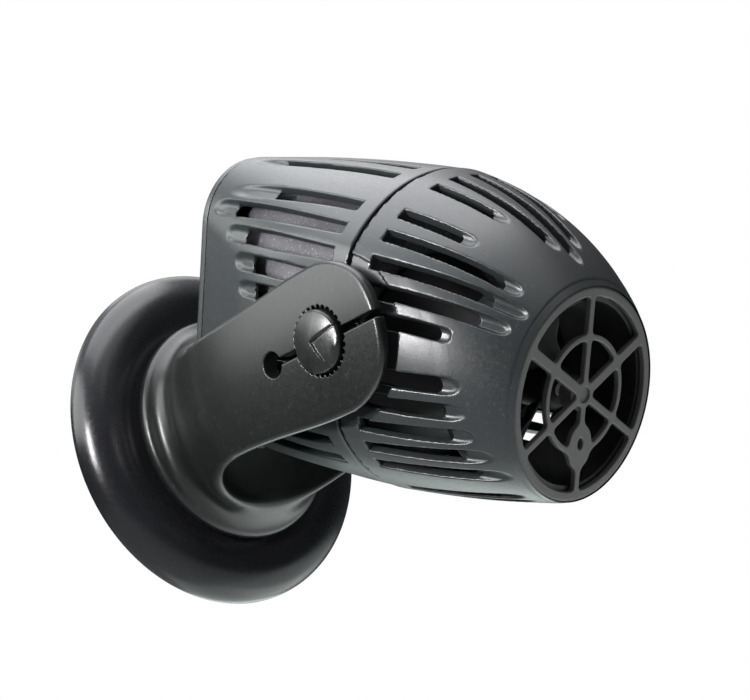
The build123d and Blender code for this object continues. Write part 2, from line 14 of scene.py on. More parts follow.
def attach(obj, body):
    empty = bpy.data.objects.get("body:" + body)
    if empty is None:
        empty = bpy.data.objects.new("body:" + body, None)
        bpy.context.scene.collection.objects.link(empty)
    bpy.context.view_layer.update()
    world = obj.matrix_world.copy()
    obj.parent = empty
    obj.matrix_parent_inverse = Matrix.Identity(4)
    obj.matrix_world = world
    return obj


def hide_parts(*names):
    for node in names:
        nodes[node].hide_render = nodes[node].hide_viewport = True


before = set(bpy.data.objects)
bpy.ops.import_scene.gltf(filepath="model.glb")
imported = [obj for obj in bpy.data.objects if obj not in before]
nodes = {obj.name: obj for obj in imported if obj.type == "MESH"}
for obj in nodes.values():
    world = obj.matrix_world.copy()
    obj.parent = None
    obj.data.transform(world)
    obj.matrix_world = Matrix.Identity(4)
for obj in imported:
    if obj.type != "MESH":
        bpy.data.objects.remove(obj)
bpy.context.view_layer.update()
MM = 0.001

# ---- sizes shared with the CAD source -----------------------------------
hinge_depth = 85.4
rest_pitch = math.radians(28.7)
axis_drop = 7.1
wall = 2.2
flat_side = 31.6
arm_outside = 37.6
arm_inside = 33.4
casing_back = 52.0
seam = 1.25
outlet_front = 42.3
outlet_radius = 23.2
grille_back = 41.0
slot_half = 1.4
pocket_radius = 18.6
knob_hole_radius = 7.3
tooth_count = 30
gland_height = 17.0

forward = Vector((0, -math.cos(rest_pitch), -math.sin(rest_pitch)))
upward = Vector((0, -math.sin(rest_pitch), math.cos(rest_pitch)))
hinge = Vector((0, -hinge_depth, 0))


def frame_of(origin, first, second, third):
    """Matrix from local millimetres to the row frame in metres."""
    m = Matrix((first, second, third)).transposed().to_4x4()
    m.translation = origin
    return Matrix.Scale(MM, 4) @ m


# Local axes: across, up, ahead.
PUMP = frame_of(hinge, (1, 0, 0), upward, forward)
ROTOR = frame_of(hinge - upward * axis_drop, (1, 0, 0), upward, forward)
GLASS = frame_of(Vector((0, 0, 0)), (1, 0, 0), (0, 0, 1), (0, -1, 0))
HINGE = frame_of(hinge, (1, 0, 0), (0, 0, 1), (0, -1, 0))


# ---- smooth curves ------------------------------------------------------
class Curve:
    """Natural cubic spline through (at, value) pairs, straight beyond its ends."""

    def __init__(self, pairs):
        self.x, self.y = np.array(pairs, float).T
        gap = np.diff(self.x)
        n = len(self.x)
        a, b = np.zeros((n, n)), np.zeros(n)
        a[0, 0] = a[-1, -1] = 1
        for i in range(1, n - 1):
            a[i, i - 1 : i + 2] = gap[i - 1], 2 * (gap[i - 1] + gap[i]), gap[i]
            after = (self.y[i + 1] - self.y[i]) / gap[i]
            before = (self.y[i] - self.y[i - 1]) / gap[i - 1]
            b[i] = 6 * (after - before)
        self.bend = np.linalg.solve(a, b)

    def both(self, at):
        """Value and slope."""
        at = np.asarray(at, float)
        i = np.clip(np.searchsorted(self.x, at) - 1, 0, len(self.x) - 2)
        gap = self.x[i + 1] - self.x[i]
        inside = np.clip(at, self.x[0], self.x[-1])
        t, s = (inside - self.x[i]) / gap, (self.x[i + 1] - inside) / gap
        m0, m1 = self.bend[i], self.bend[i + 1]
        value = s * self.y[i] + t * self.y[i + 1] + gap**2 / 6 * ((s**3 - s) * m0 + (t**3 - t) * m1)
        slope = (self.y[i + 1] - self.y[i]) / gap
        slope = slope + gap / 6 * ((3 * t**2 - 1) * m1 - (3 * s**2 - 1) * m0)
        return value + slope * (at - inside), slope

    def __call__(self, at):
        return self.both(at)[0]

    def offset(self, at, from_axis):
        """Signed distance from a profile that stands this curve away from the axis."""
        value, slope = self.both(at)
        return (from_axis - value) / np.sqrt(1 + slope**2)


# ---- fields: signed distances, negative inside --------------------------
def both(a, b, r):
    """Overlap of two fields, with its edge rounded to radius r."""
    corner = np.hypot(np.maximum(a + r, 0), np.maximum(b + r, 0))
    return np.minimum(-r, np.maximum(a, b)) + corner


def cut(a, b, r):
    """Field a with b taken out, rim rounded to r."""
    return both(a, -b, r)


def join(a, b, r):
    """Union of two fields with a fillet of radius r."""
    corner = np.hypot(np.maximum(r - a, 0), np.maximum(r - b, 0))
    return np.maximum(r, np.minimum(a, b)) - corner


def rounded_box(x, u, w, h, r):
    """Outline of half width w and half height h, with corners of radius r."""
    qx, qy = np.abs(x) - (w - r), np.abs(u) - (h - r)
    return np.hypot(np.maximum(qx, 0), np.maximum(qy, 0)) + np.minimum(np.maximum(qx, qy), 0) - r


def between(at, start, end):
    """Slab from start to end."""
    return np.maximum(start - at, at - end)


def knob_hole(x, u, d):
    """The hole that a trunnion passes through, in either side of the casing."""
    return np.maximum(np.hypot(u, d) - knob_hole_radius, 25 - np.abs(x))


def from_nearest_tooth(turn):
    """Angle from the nearest of the teeth spaced round a trunnion or its bore."""
    pitch = 2 * math.pi / tooth_count
    return (turn + pitch / 2) % pitch - pitch / 2


# ---- grids and meshes ---------------------------------------------------
BLOCK = 8        # grid points along the side of a block, which is sampled only if it is near
BATCH = 2000     # blocks sampled in one go


def lattice(low, high, step, bands=()):
    """Grid lines from low to high, finer inside each (start, end, step) band."""
    lines = [low]
    while lines[-1] < high:
        gap = step
        for start, end, fine in bands:
            if start <= lines[-1] < end:
                gap = fine
        lines.append(lines[-1] + gap)
    return np.array(lines)


def straight(a, b, c):
    """Grid whose lines are the local axes themselves."""
    return a, b, c


def polar(drop):
    """Grid of (turn, radius, ahead) round an axis that runs below the middle by drop."""
    return lambda turn, reach, ahead: (reach * np.sin(turn), reach * np.cos(turn) - drop, ahead)


def sample(field, axes, place):
    """Field values on a grid, exact near the surface and only right in sign elsewhere."""
    counts = [len(a) for a in axes]
    middles, halves = [], []
    for a in axes:
        starts = np.arange(0, len(a), BLOCK)
        ends = np.minimum(starts + BLOCK, len(a) - 1)
        middles.append((a[starts] + a[ends]) / 2)
        halves.append((a[ends] - a[starts]) / 2)
    grid = [g.ravel() for g in np.meshgrid(*middles, indexing="ij")]
    half = [h.ravel() for h in np.meshgrid(*halves, indexing="ij")]
    centre = np.stack(place(*grid))
    reach = np.zeros(len(grid[0]))
    for signs in ((1, 1, 1), (1, 1, -1), (1, -1, 1), (1, -1, -1)):
        corner = np.stack(place(*[g + s * h for g, s, h in zip(grid, signs, half)]))
        reach = np.maximum(reach, np.linalg.norm(corner - centre, axis=0))
    shape = [len(m) for m in middles]
    rough = field(*centre)
    values = rough.reshape(shape).astype(np.float32)
    for k in range(3):
        values = np.repeat(values, BLOCK, axis=k)
    values = values[: counts[0], : counts[1], : counts[2]].copy()
    near = np.argwhere((np.abs(rough) < 1.3 * reach + 0.3).reshape(shape))
    step = np.arange(BLOCK)
    inner = np.stack(np.meshgrid(step, step, step, indexing="ij"), -1).reshape(-1, 3)
    for start in range(0, len(near), BATCH):
        at = (near[start : start + BATCH, None, :] * BLOCK + inner[None]).reshape(-1, 3)
        at = at[(at < counts).all(1)]
        i, j, k = at.T
        values[i, j, k] = field(*place(axes[0][i], axes[1][j], axes[2][k]))
    return values


def gradient(field, v):
    """Slope of a field at each vertex, from four points round it."""
    eps = 0.02
    corners = np.array(((1, -1, -1), (-1, -1, 1), (-1, 1, -1), (1, 1, 1)), float)
    total = sum(c[None] * field(*(v + eps * c).T)[:, None] for c in corners)
    return total / (4 * eps)


def skin(field, axes, place):
    """Vertices, quads and normals of a field's surface: dual mesh, then pulled onto the surface.

    A polar grid closes on itself along its first axis.
    """
    value = sample(field, axes, place)
    first = [1 if place is straight else 0, 1, 1]
    inside = value < 0
    n = [c - 1 for c in value.shape]
    corners = [(i, j, k) for i in (0, 1) for j in (0, 1) for k in (0, 1)]
    count = sum(inside[i : i + n[0], j : j + n[1], k : k + n[2]].astype(np.int8)
                for i, j, k in corners)
    cells = np.argwhere((count > 0) & (count < 8))
    at = np.zeros((len(cells), 3))
    hits = np.zeros(len(cells))
    for a in corners:
        for b in corners:
            if sum(b) - sum(a) != 1 or any(q < p for p, q in zip(a, b)):
                continue
            ia, ib = (cells + a).T, (cells + b).T
            va, vb = value[tuple(ia)], value[tuple(ib)]
            hit = (va < 0) != (vb < 0)
            t = np.where(hit, va / np.where(hit, va - vb, 1), 0)[:, None]
            pa = np.stack(place(*[axes[d][ia[d]] for d in range(3)]), 1)
            pb = np.stack(place(*[axes[d][ib[d]] for d in range(3)]), 1)
            at += np.where(hit[:, None], pa + t * (pb - pa), 0)
            hits += hit
    v = at / hits[:, None]
    index = np.full(n, -1, np.int64)
    index[tuple(cells.T)] = np.arange(len(cells))
    quads = []
    for d in range(3):
        p, q = (d + 1) % 3, (d + 2) % 3
        low = [slice(start, -1) for start in first]
        high = list(low)
        low[d], high[d] = slice(0, -1), slice(1, None)
        a, b = inside[tuple(low)], inside[tuple(high)]
        for flip, where in ((False, a & ~b), (True, b & ~a)):
            e = np.argwhere(where)
            e[:, p] += first[p]
            e[:, q] += first[q]
            ring = []
            for dp, dq in ((1, 1), (0, 1), (0, 0), (1, 0)):
                c = e.copy()
                c[:, p] -= dp
                c[:, q] -= dq
                ring.append(index[tuple(c.T)])
            face = np.stack(ring, 1)
            quads.append(face[:, ::-1] if flip else face)
    quads = np.concatenate(quads)
    gap = max(np.diff(a).max() for a in axes[1:])
    for _ in range(3):
        g = gradient(field, v)
        size = np.maximum((g**2).sum(1), 0.05)
        move = -g * (field(*v.T) / size)[:, None]
        far = np.sqrt((move**2).sum(1))
        v += move * np.minimum(1, 0.4 * gap / np.maximum(far, 1e-9))[:, None]
    g = gradient(field, v)
    return v, quads, g / np.maximum(np.linalg.norm(g, axis=1), 1e-9)[:, None]


def make(name, v, faces, matrix, body, slot, replaced, normals=None):
    """A piece in the row frame from local millimetre vertices, in the look of its slot.

    Without normals it is smooth up to edges of 40 degrees.
    """
    mesh = bpy.data.meshes.new(name)
    mesh.from_pydata(v.tolist(), [], faces.tolist())
    mesh.transform(matrix)
    mesh.shade_smooth()
    if normals is None:
        mesh.set_sharp_from_angle(angle=math.radians(40))
    else:
        turn = np.array(matrix.to_3x3().normalized())
        mesh.normals_split_custom_set_from_vertices((normals @ turn.T).tolist())
    obj = bpy.data.objects.new(name, mesh)
    bpy.context.scene.collection.objects.link(obj)
    mesh.materials.append(looks[slot])
    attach(obj, body)
    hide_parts(*replaced)


def moulding(name, field, axes, matrix, body, slot, replaced, place=straight):
    """A piece skinned from its field."""
    v, faces, normals = skin(field, axes, place)
    print(name, len(v), "vertices")
    make(name, v, faces, matrix, body, slot, replaced, normals)


def lathe(profile, turns):
    """Closed ring of profile points (radius, ahead) turned about the third axis."""
    p = np.array(profile, float)
    angle = np.linspace(0, 2 * math.pi, turns, endpoint=False)
    v = np.stack([
        np.outer(np.cos(angle), p[:, 0]), np.outer(np.sin(angle), p[:, 0]),
        np.outer(np.ones(turns), p[:, 1]),
    ], -1).reshape(-1, 3)
    n = len(p)
    faces = []
    for i in range(turns):
        j = (i + 1) % turns
        for k in range(n):
            m = (k + 1) % n
            faces.append((i * n + k, j * n + k, j * n + m, i * n + m))
    return v, np.array(faces)


# ---- materials ----------------------------------------------------------
def tree(name):
    """A new material with its nodes, links, shader and object coordinates."""
    mat = bpy.data.materials.new(name)
    mat.use_nodes = True
    n, l = mat.node_tree.nodes, mat.node_tree.links
    return mat, n, l, n["Principled BSDF"], n.new("ShaderNodeTexCoord").outputs["Object"]


def noise(n, l, at, scale, detail, rough=0.5):
    node = n.new("ShaderNodeTexNoise")
    node.inputs["Scale"].default_value = scale
    node.inputs["Detail"].default_value = detail
    node.inputs["Roughness"].default_value = rough
    l.new(at, node.inputs["Vector"])
    return node.outputs["Fac"]


def ramp(n, l, fac, stops):
    node = n.new("ShaderNodeValToRGB")
    while len(node.color_ramp.elements) < len(stops):
        node.color_ramp.elements.new(0.5)
    for e, (at, colour) in zip(node.color_ramp.elements, stops):
        e.position = at
        e.color = (*colour, 1)
    l.new(fac, node.inputs["Fac"])
    return node.outputs["Color"]


def span(n, l, fac, low, high, start=0.3, end=0.7):
    """Maps start..end onto low..high."""
    node = n.new("ShaderNodeMapRange")
    node.inputs["From Min"].default_value = start
    node.inputs["From Max"].default_value = end
    node.inputs["To Min"].default_value = low
    node.inputs["To Max"].default_value = high
    l.new(fac, node.inputs["Value"])
    return node.outputs["Result"]


CLOUD_SCALE = 70


def moulded(name, colour, rough, grain, depth, spread, coat=0.0, fleck=0.0, specular=0.5):
    """Moulded plastic or rubber: cloudy colour, spark-eroded grain of some depth, faint flecks."""
    mat, n, l, shader, at = tree(name)
    dark = [c * (1 - spread) for c in colour]
    light = [c * (1 + spread) for c in colour]
    base = ramp(n, l, noise(n, l, at, CLOUD_SCALE, 3), ((0.3, dark), (0.7, light)))
    fine = noise(n, l, at, grain, 2, 0.6)
    if fleck:
        mix = n.new("ShaderNodeMix")
        mix.data_type = "RGBA"
        mix.blend_type = "ADD"
        spots = noise(n, l, at, grain * 0.8, 1)
        l.new(span(n, l, spots, 0, 1, 0.60, 0.78), mix.inputs["Factor"])
        l.new(base, mix.inputs["A"])
        mix.inputs["B"].default_value = (fleck, fleck, fleck * 1.08, 1)
        base = mix.outputs["Result"]
    l.new(base, shader.inputs["Base Color"])
    l.new(span(n, l, fine, rough * 0.88, min(1, rough * 1.14)), shader.inputs["Roughness"])
    bump = n.new("ShaderNodeBump")
    bump.inputs["Strength"].default_value = 1.0
    bump.inputs["Distance"].default_value = depth * MM
    l.new(fine, bump.inputs["Height"])
    l.new(bump.outputs["Normal"], shader.inputs["Normal"])
    shader.inputs["Specular IOR Level"].default_value = specular
    shader.inputs["Coat Weight"].default_value = coat
    shader.inputs["Coat Roughness"].default_value = 0.3
    return mat


def metal(name, colour, rough, grain, stretch):
    """Brushed, rolled or wound metal, its streaks across the axes with the larger stretch."""
    mat, n, l, shader, at = tree(name)
    place = n.new("ShaderNodeMapping")
    place.inputs["Scale"].default_value = stretch
    l.new(at, place.inputs["Vector"])
    streak = noise(n, l, place.outputs["Vector"], grain, 3)
    dark = [c * 0.8 for c in colour]
    l.new(ramp(n, l, streak, ((0.3, dark), (0.7, colour))), shader.inputs["Base Color"])
    l.new(span(n, l, streak, rough * 0.7, rough * 1.3), shader.inputs["Roughness"])
    shader.inputs["Metallic"].default_value = 1.0
    bump = n.new("ShaderNodeBump")
    bump.inputs["Distance"].default_value = 0.01 * MM
    l.new(streak, bump.inputs["Height"])
    l.new(bump.outputs["Normal"], shader.inputs["Normal"])
    return mat


looks = {
    "casing_plastic": moulded("casing_plastic", (0.0125, 0.0155, 0.0160), 0.37, 1700, 0.022, 0.10,
                              fleck=0.014, specular=0.55),
    "yoke_plastic": moulded("yoke_plastic", (0.005, 0.0058, 0.0056), 0.33, 1500, 0.008, 0.10,
                            fleck=0.008, specular=0.42),
    "grille_plastic": moulded("grille_plastic", (0.082, 0.080, 0.076), 0.5, 1200, 0.010, 0.12,
                              specular=0.4),
    "cup_rubber": moulded("cup_rubber", (0.0065, 0.0068, 0.0078), 0.25, 900, 0.004, 0.15,
                          specular=0.4),
    "motor_resin": moulded("motor_resin", (0.062, 0.062, 0.067), 0.6, 2300, 0.02, 0.25,
                           fleck=0.12, specular=0.3),
    "white_acetal": moulded("white_acetal", (0.72, 0.72, 0.69), 0.4, 700, 0.005, 0.04),
    "propeller_plastic": moulded("propeller_plastic", (0.009, 0.009, 0.010), 0.45, 1200, 0.006,
                                 0.15, specular=0.3),
    "ferrite": moulded("ferrite", (0.06, 0.06, 0.065), 0.55, 900, 0.02, 0.25),
    "stainless": metal("stainless", (0.62, 0.62, 0.63), 0.28, 300, (1, 12, 1)),
    "lamination_steel": metal("lamination_steel", (0.36, 0.36, 0.38), 0.4, 60, (1, 30, 30)),
    "copper_wire": metal("copper_wire", (0.62, 0.27, 0.12), 0.32, 90, (1, 25, 25)),
    "ceramic": moulded("ceramic", (0.86, 0.85, 0.82), 0.18, 500, 0.003, 0.03, coat=0.4),
    "seal_rubber": moulded("seal_rubber", (0.02, 0.02, 0.02), 0.65, 900, 0.01, 0.2),
}

# ---- casings ------------------------------------------------------------
front_stations = ((1.6, 36.6, 0.0), (15.2, 34.2, -0.9), (28.7, 30.1, -3.0), (42.3, 23.2, -7.1))
rear_stations = ((-0.9, 36.5, 36.5, 36.4), (26.0, 32.4, 35.7, 26.0), (52.0, 25.6, 34.0, 16.0))
station_d = [s[0] for s in front_stations]
radius_fit = np.polyfit(station_d, [s[1] for s in front_stations], 3)
centre_fit = np.polyfit(station_d, [s[2] for s in front_stations], 3)
station_b = [s[0] for s in rear_stations]
half_w_fit, half_h_fit, corner_fit = (
    np.polyfit(station_b, [s[i] for s in rear_stations], 2) for i in (1, 2, 3)
)
side_slope = 1.02
seam_gap = 0.5
grille_bed = 0.03

# A slot: angle from the top at its start and at its tip, start, tip of its scoop, length of
# the scoop's ramp, the ramp's curve, length of the pointed end.
upper_slots = (
    (0.0, 0.0, 7.0, 38.8, 6.0, 0.75, 3.5), (9.1, 7.0, 7.0, 35.4, 6.0, 0.75, 3.5),
    (17.6, 15.5, 7.0, 26.0, 6.0, 0.75, 3.5), (33.0, 31.5, 7.0, 25.6, 6.0, 0.70, 3.0),
    (41.8, 38.5, 7.0, 37.4, 6.5, 0.55, 2.8), (51.0, 46.5, 7.0, 40.2, 12.0, 0.42, 3.0),
    (59.2, 56.5, 7.0, 38.8, 11.0, 0.42, 3.0), (67.6, 67.0, 7.0, 29.2, 5.0, 0.45, 2.0),
)
lower_slots = (
    (87.5, 85.3, 7.0, 32.6, 7.0, 0.60, 4.0), (97.2, 96.2, 7.0, 34.0, 8.0, 0.65, 5.0),
    (107.9, 107.3, 7.0, 35.6, 9.0, 0.70, 6.0), (118.2, 117.9, 7.0, 38.0, 10.0, 0.75, 7.0),
    (128.5, 131.0, 7.0, 40.2, 11.0, 0.80, 8.0), (151.5, 151.5, 7.0, 39.5, 10.0, 0.90, 8.0),
    (161.0, 161.0, 7.0, 39.5, 10.0, 0.90, 8.0), (170.5, 170.5, 7.0, 39.5, 10.0, 0.90, 8.0),
    (180.0, 180.0, 7.0, 39.5, 10.0, 0.90, 8.0),
)

# One quarter of the rear slots, from the top to the side.
rear_quarter = (
    (10.4, 8.0, 3.8, 44.5, 13.5, 0.9, 10.0), (20.8, 24.5, 3.8, 49.5, 12.5, 0.9, 10.0),
    (40.6, 42.0, 3.8, 47.0, 21.5, 0.8, 12.0), (50.6, 48.3, 3.8, 50.0, 13.0, 0.45, 6.0),
    (60.2, 58.0, 3.8, 42.2, 11.0, 0.55, 5.0), (69.4, 68.0, 3.8, 36.8, 9.8, 0.55, 4.5),
    (79.0, 78.4, 12.5, 34.6, 8.8, 0.55, 4.5),
)


def mirrored(slots):
    """The same slots on both sides of the middle plane."""
    return slots + tuple((-s[0], -s[1], *s[2:]) for s in slots if s[0] % 180)


below_quarter = tuple((180 - s[0], 180 - s[1], *s[2:]) for s in rear_quarter)
rear_slots = mirrored(rear_quarter + below_quarter)


def front_skin(x, u, d):
    """Signed distance from the front casing's outer surface."""
    r, c = np.polyval(radius_fit, d), np.polyval(centre_fit, d)
    rise = u - c
    rho = np.maximum(np.hypot(x, rise), 1e-6)
    drift = rise / rho * np.polyval(np.polyder(centre_fit), d)
    slope = np.polyval(np.polyder(radius_fit), d) + drift
    return (rho - r) / np.sqrt(1 + slope**2)


def rear_skin(x, u, d):
    """Distance from the rear casing's outer surface, evened out for the slope of its sides."""
    outline = (np.polyval(fit, -d) for fit in (half_w_fit, half_h_fit, corner_fit))
    return rounded_box(x, u, *outline) / side_slope


def inner_space(x, surface):
    """What the wall leaves inside a casing, with its two flat sides."""
    return np.maximum(surface + wall, np.abs(x) - (flat_side - wall))


ramp_depth = 0.78 * wall
lip_share = 0.81


def slot_cut(solid, surface, x, u, along, slots, drop, edge, spread):
    """Takes slots with scooped ends out of a wall; they widen by spread toward the tip."""
    u = u + drop
    out, turn = np.hypot(x, u), np.degrees(np.arctan2(-x, u))
    for first, last, start, tip, ramp_long, curve, point in slots:
        share = np.clip((along - start) / (tip - start), 0, 1)
        off = (turn - first - (last - first) * share**1.5 + 180) % 360 - 180
        side = np.abs(np.radians(off)) * out
        near = np.flatnonzero((side < slot_half + 2.5) & (out > 5)
                              & (along > start - 3) & (along < tip + 3))
        if not len(near):
            continue
        s, d, f = side[near], along[near], surface[near]
        half = slot_half + spread * np.minimum(share[near] * 2, 1)
        past = np.maximum(d - (tip + 0.3 - point), 0) * half / point
        outline = np.hypot(s, past) - half
        outline = both(outline, start - d, 0.2)
        deep = ramp_depth * np.clip((tip - d) / ramp_long, 0, 1) ** curve
        deep = np.where(d > tip, (tip - d) * 0.5, deep)
        scoop = both(outline, (-f - deep) * 0.92, 1.15)
        # The opening itself ends in a crisp, slightly round lip part of the way up the scoop.
        lip = tip - ramp_long * lip_share ** (1 / curve) - 0.22 * s**2
        tool = np.minimum(scoop, both(outline, d - lip, 0.25))
        solid[near] = cut(solid[near], tool, edge)
    return solid


def front_field(x, u, d):
    surface = front_skin(x, u, d)
    solid = both(surface, d - grille_back + grille_bed, 0.1)
    # Flat recess that clears the ear: soft where it runs out at the top, a crisp round step.
    recess = np.hypot(u, d) - pocket_radius
    solid = join(both(surface + 0.02, np.abs(x) - flat_side, 2.0), both(solid, -recess, 0.45), 0.3)
    solid = both(solid, seam + seam_gap - d, 0.25)
    bore = outlet_radius - wall + 0.5 * (outlet_front - np.minimum(d, outlet_front))
    throat = np.hypot(x, u + axis_drop) - bore
    hollow = inner_space(x, surface)
    hollow = np.where(d > 30, np.maximum(hollow, throat), hollow)
    # The hollow runs out through the front, which the grille closes.
    hollow = np.where(d > 39, throat, hollow)
    solid = np.maximum(solid, -hollow)
    solid = np.maximum(solid, -knob_hole(x, u, d))
    solid = slot_cut(solid, surface, x, u, d, mirrored(upper_slots), axis_drop, 0.35, 0.1)
    return slot_cut(solid, surface, x, u, d, mirrored(lower_slots), axis_drop, 0.35, 0.4)


def rear_field(x, u, d):
    surface = rear_skin(x, u, d)
    solid = both(surface, np.abs(x) - flat_side, 1.3)
    solid = both(solid, d - (seam - seam_gap), 0.25)
    solid = both(solid, -casing_back - d, 0.15)
    solid = np.maximum(solid, -inner_space(x, surface))
    solid = np.maximum(solid, -knob_hole(x, u, d))
    return slot_cut(solid, surface, x, u, -d, rear_slots, 0.0, 0.4, 0.4)


turns = np.radians(np.linspace(-180, 180, 601))
step = 0.55
moulding("front_shell", front_field, (turns, lattice(16, 46, 0.45), lattice(0.6, 42.0, step)),
         PUMP, "pump_body", "casing_plastic", ["front_casing"], polar(axis_drop))
moulding("rear_shell", rear_field, (turns, lattice(20, 40, 0.45), lattice(-53, 1.9, step)),
         PUMP, "pump_body", "casing_plastic", ["rear_casing"], polar(0))


# ---- rear cap, motor ----------------------------------------------------
screw_x, screw_u = 16.8, 25.6
cap_thickness = 2.9
cap_gap = 0.7


def cap_field(x, u, d):
    back = -casing_back - cap_thickness
    plate = rounded_box(x, u, 25.2, 33.6, 15.6)
    solid = both(plate, back - d, 1.1)
    solid = both(solid, d + casing_back + cap_gap, 0.15)
    spigot = np.maximum(rounded_box(x, u, 23.1, 31.5, 13.5), d + casing_back - 0.9)
    spigot = np.maximum(spigot, -casing_back - 1 - d)
    solid = np.minimum(solid, spigot)
    ax, au = np.abs(x) - screw_x, np.abs(u) - screw_u
    boss = np.maximum(np.hypot(ax, au) - 4.2, d + casing_back + 1)
    gland = np.maximum(np.hypot(x, u - gland_height) - 7.2, d + casing_back + 1)
    keep = np.minimum(boss, gland)
    panel = np.maximum(rounded_box(x, u, 20.5, 28.9, 11.5), d - back - 0.5)
    solid = cut(solid, np.maximum(panel, -keep), 0.25)
    screw = np.minimum(np.maximum(np.hypot(ax, au) - 2.7, d - back - 1.6), np.hypot(ax, au) - 1.4)
    solid = cut(solid, screw, 0.2)
    return cut(solid, np.hypot(x, u - gland_height) - 4.0, 0.2)


step = 0.42
moulding("back_cap", cap_field,
         (lattice(-26, 26, step), lattice(-34.4, 34.4, step), lattice(-55.6, -50.4, 0.3)),
         PUMP, "pump_body", "casing_plastic", ["rear_cap"])

# Distance behind the hinge, half width, half height, corner radius.
can_stations = ((4.0, 26.6, 31.0, 24.0), (26.0, 26.4, 30.6, 21.0), (45.5, 22.4, 28.5, 15.0))
can_fits = [
    np.polyfit([s[0] for s in can_stations], [s[i] for s in can_stations], 2) for i in (1, 2, 3)
]


def can_field(x, u, d):
    solid = rounded_box(x, u, *(np.polyval(fit, -d) for fit in can_fits)) / side_slope
    solid = both(solid, d + 4.0, 0.4)
    solid = both(solid, -45.5 - d, 1.2)
    return np.maximum(solid, -(np.hypot(x, u - gland_height) - 2.5))


step = 0.8
moulding("motor_block", can_field,
         (lattice(-27.6, 27.6, step), lattice(-32, 32, step), lattice(-46.4, -3, step)),
         PUMP, "pump_body", "motor_resin", ["motor_can"])

# ---- outlet grille ------------------------------------------------------
thick_spokes = (30, 150)
guard_opening = 20.9
inner_ring = 12.25
guard_rim = 23.5


def grille_field(x, u, d):
    rho = np.hypot(x, u)
    flat = np.minimum(guard_opening - rho, np.abs(rho - inner_ring) - 0.62)
    for k in range(6):
        angle = 30 + 60 * k
        ca, sa = math.cos(math.radians(angle)), math.sin(math.radians(angle))
        along, side = x * ca + u * sa, np.abs(-x * sa + u * ca)
        half = 1.15 if angle in thick_spokes else 0.8
        flat = join(flat, np.where(along > 0, side, rho) - half, 1.0)
    flat = join(flat, rho - 2.6, 0.8)
    plate = (np.hypot(x / 3.9, (u + 11.2) / 4.9) - 1) * 3.6
    flat = join(flat, plate, 1.0)
    flat = np.maximum(flat, -(np.hypot(x / 0.9, (u + 10.6) / 1.25) - 1) * 0.95)
    solid = both(flat, d - outlet_front + 0.02, 0.22)
    solid = both(solid, grille_back + 0.02 - d, 0.12)
    # The ring's outer edge carries on the casing's skin.
    solid = both(solid, (rho - guard_rim + 0.44 * (d - grille_back)) * 0.91, 0.5)
    socket = np.maximum(np.abs(rho - 3.15) - 0.45, between(d, 37.9, 41.5))
    solid = np.minimum(solid, socket)
    return cut(solid, np.maximum(rho - 1.7, outlet_front - 0.5 - d), 0.15)


step = 0.27
moulding("outlet_guard", grille_field,
         (lattice(-24.2, 24.2, step), lattice(-24.2, 24.2, step),
          lattice(37.3, 43, 0.5, ((40.7, 43, 0.2),))),
         ROTOR, "pump_body", "grille_plastic", ["outlet_grille"])

# ---- yoke ---------------------------------------------------------------
half_height = Curve(((12, 26.5), (17, 22.3), (24, 18.0), (33, 15.3), (46, 14.4), (66, 15.2),
                     (80, 16.3), (90, 16.4), (104, 16.2)))
half_width = Curve(((12, 24.0), (18, 26.5), (28, 31.2), (39, 35.2), (50, 37.2),
                    (58, arm_outside), (75, arm_outside), (105, arm_outside)))
trumpet = Curve(((12, 24.6), (16, 25.8), (20.5, 28.3), (29.5, 32.4), (47, 41.0), (60, 47.0)))
slit_half = 0.8
slit_end = 15.9
crown = 0.006
neck_wall = 2.7
tip_taper = 1.0
arch_spring = 52
arch_depth = 35
foot_radius = 29.0
foot_back = 7.9
shaft_hole = 5.06


def yoke_field(x, z, t):
    ax, az = np.abs(x), np.abs(z)
    tip = t - (hinge_depth + 17.8 - 0.0245 * z**2)
    side = both(half_height.offset(t, az), tip, 9.0)
    # The window between the arms: an arch at the neck, then straight, wider at the tips.
    before = np.maximum(arch_spring - t, 0)
    hollow = (((ax / arm_inside) ** 2.5 + (before / arch_depth) ** 2.5) ** 0.4 - 1) * 32
    straight_part = ax - arm_inside - tip_taper * np.clip((t - 66) / 22, 0, 1)
    hollow = np.where(t > arch_spring, straight_part, hollow)
    rho = np.hypot(x, z)
    hollow = both(hollow, trumpet.offset(t, rho) + neck_wall, 3.0)
    # The outer face is crowned a little across the arm.
    plan = both(half_width.offset(t, ax + crown * z**2), -hollow, 0.8)
    # The rim of the window is rounder toward the neck.
    arms = both(side, plan, 1.1 + 0.9 * np.clip((45 - t) / 15, 0, 1))
    arms = both(arms, trumpet.offset(t, rho), 2.5)
    arms = np.maximum(arms, 12 - t)
    foot = both(rho - foot_radius, (t - 10.4 - 0.32 * (foot_radius - rho)) * 0.95, 1.1)
    foot = both(foot, foot_back - t, 0.7)
    solid = join(arms, foot, 5.0)
    solid = np.maximum(solid, foot_back - t)
    solid = np.maximum(solid, -(rho - shaft_hole))
    solid = cut(solid, np.maximum(rho - 8.2, 14.0 - t), 0.4)
    # The slit, its round end and the toothed bore, in both ears.
    s = t - hinge_depth
    slit = both(az - slit_half, -slit_end - s, 0.1)
    relief = np.hypot(s + slit_end, z) - 2.85
    local = from_nearest_tooth(np.arctan2(z, s))
    reach = np.hypot(s, z)
    tooth = np.hypot(reach * np.cos(local) - 7.15, reach * np.sin(local)) - 0.52
    bore = np.minimum(reach - 7.0, tooth)
    tool = np.minimum(np.minimum(slit, relief), bore)
    tool = np.maximum(tool, 20 - ax)
    return cut(solid, tool, 0.22)


